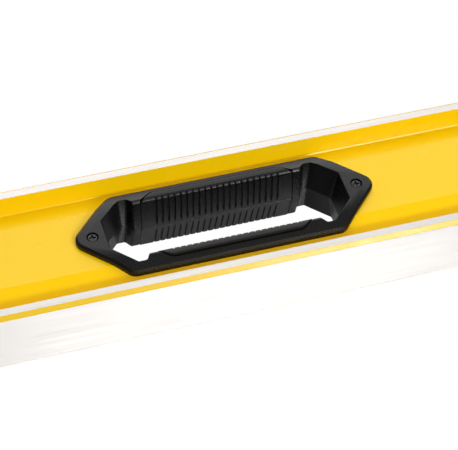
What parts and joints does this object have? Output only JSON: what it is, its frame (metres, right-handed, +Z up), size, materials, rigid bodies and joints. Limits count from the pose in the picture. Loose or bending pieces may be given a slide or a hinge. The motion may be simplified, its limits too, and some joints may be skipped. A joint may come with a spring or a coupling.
{
  "type": "spirit level",
  "caption": "Box-section spirit level with a yellow aluminium beam, milled measuring faces, ribbed hand-holds, a centre vial and end plumb vials.",
  "frame": {"origin": "under the middle of the beam, on the lower measuring face, half way through its depth", "axes": "+X along the beam, +Y from the front web to the rear web, +Z up while the lower measuring face rests on level work"},
  "size_m": [0.6, 0.031, 0.06],
  "materials": {
    "yellow_coated_aluminium": "extruded aluminium, yellow powder coat, bare milled bands on the measuring edges",
    "black_nylon": "moulded glass-filled nylon, fine spark texture",
    "soft_grip": "overmoulded soft elastomer, ribbed, satin",
    "dark_screw": "black zinc plated steel",
    "black_abs": "moulded ABS, fine texture",
    "clear_lens": "clear polished polycarbonate",
    "white_cradle": "white moulded ABS",
    "clear_acrylic": "clear machined acrylic",
    "vial_liquid": "yellow-green vial liquid",
    "bubble_air": "air bubble",
    "clear_plug": "acrylic plug, cemented",
    "black_ink": "printed black rings",
    "black_cap": "moulded polypropylene, fine texture",
    "shock_rubber": "moulded rubber, satin"
  },
  "bodies": {
    "level": {"beam": "yellow_coated_aluminium", "centre_cradle": "white_cradle", "centre_filling_plug": "clear_plug", "centre_front_bezel": "black_abs", "centre_front_lens": "clear_lens", "centre_liquid": "vial_liquid", "centre_reading_rings": "black_ink", "centre_rear_bezel": "black_abs", "centre_rear_lens": "clear_lens", "centre_screws": "dark_screw", "centre_top_lens": "clear_lens", "centre_vial": "clear_acrylic", "left_end_cap": "black_cap", "left_handhold_front_lower_grip": "soft_grip", "left_handhold_front_shell": "black_nylon", "left_handhold_front_upper_grip": "soft_grip", "left_handhold_rear_lower_grip": "soft_grip", "left_handhold_rear_shell": "black_nylon", "left_handhold_rear_upper_grip": "soft_grip", "left_handhold_screws": "dark_screw", "left_plumb_cradle": "white_cradle", "left_plumb_filling_plug": "clear_plug", "left_plumb_front_bezel": "black_abs", "left_plumb_front_lens": "clear_lens", "left_plumb_liquid": "vial_liquid", "left_plumb_reading_rings": "black_ink", "left_plumb_rear_bezel": "black_abs", "left_plumb_rear_lens": "clear_lens", "left_plumb_vial": "clear_acrylic", "left_shock_pad": "shock_rubber", "right_end_cap": "black_cap", "right_handhold_front_lower_grip": "soft_grip", "right_handhold_front_shell": "black_nylon", "right_handhold_front_upper_grip": "soft_grip", "right_handhold_rear_lower_grip": "soft_grip", "right_handhold_rear_shell": "black_nylon", "right_handhold_rear_upper_grip": "soft_grip", "right_handhold_screws": "dark_screw", "right_plumb_cradle": "white_cradle", "right_plumb_filling_plug": "clear_plug", "right_plumb_front_bezel": "black_abs", "right_plumb_front_lens": "clear_lens", "right_plumb_liquid": "vial_liquid", "right_plumb_reading_rings": "black_ink", "right_plumb_rear_bezel": "black_abs", "right_plumb_rear_lens": "clear_lens", "right_plumb_vial": "clear_acrylic", "right_shock_pad": "shock_rubber"},
    "centre_bubble": {"centre_bubble": "bubble_air"},
    "left_plumb_bubble": {"left_plumb_bubble": "bubble_air"},
    "right_plumb_bubble": {"right_plumb_bubble": "bubble_air"}
  },
  "joints": [
    {"name": "centre_bubble_slide", "type": "slide", "parent": "level", "child": "centre_bubble", "axis": [1, 0, 0], "range_m": [-0.0115, 0.0115], "stiffness_N_per_m": 0.5},
    {"name": "left_plumb_bubble_slide", "type": "slide", "parent": "level", "child": "left_plumb_bubble", "axis": [0, 0, 1], "range_m": [-0.0115, 0], "stiffness_N_per_m": 1, "springref_m": 0.01},
    {"name": "right_plumb_bubble_slide", "type": "slide", "parent": "level", "child": "right_plumb_bubble", "axis": [0, 0, 1], "range_m": [-0.0115, 0], "stiffness_N_per_m": 1, "springref_m": 0.01}
  ]
}
